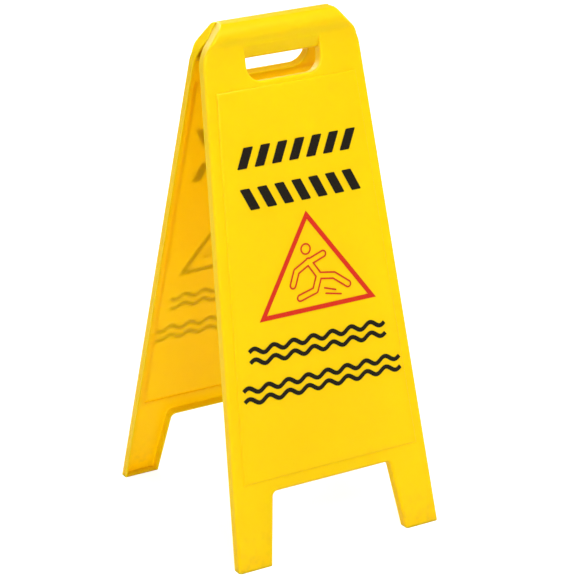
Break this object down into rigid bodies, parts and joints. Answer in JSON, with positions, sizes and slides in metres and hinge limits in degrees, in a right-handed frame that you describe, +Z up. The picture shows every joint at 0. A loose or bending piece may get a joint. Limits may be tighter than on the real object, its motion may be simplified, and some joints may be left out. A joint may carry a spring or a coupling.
{
  "type": "folding floor sign",
  "caption": "Yellow plastic A-frame floor sign: legged leaves on a top hinge, each with a hand slot and a raised field for a wet floor warning.",
  "frame": {"origin": "on the floor, midway between the feet of the two leaves and on the centre line", "axes": "+Z up; X along the hinge, +X to the right as the front leaf is read; the front leaf faces -Y"},
  "size_m": [0.2866, 0.3202, 0.6426],
  "materials": {
    "yellow_leaf": "satin moulded polypropylene",
    "rod_steel": "drawn, zinc plated",
    "cap_nylon": "moulded",
    "black_ink": "screen printed",
    "red_ink": "screen printed"
  },
  "bodies": {
    "front_leaf": {"front_panel": "yellow_leaf", "hinge_rod": "rod_steel", "left_rod_cap": "cap_nylon", "right_rod_cap": "cap_nylon"},
    "rear_leaf": {"rear_panel": "yellow_leaf"}
  },
  "joints": [
    {"name": "leaf_hinge", "type": "hinge", "parent": "front_leaf", "child": "rear_leaf", "pos_m": [0, 0, 0.62547], "axis": [-1, 0, 0], "range_deg": [0, 26.3]}
  ]
}
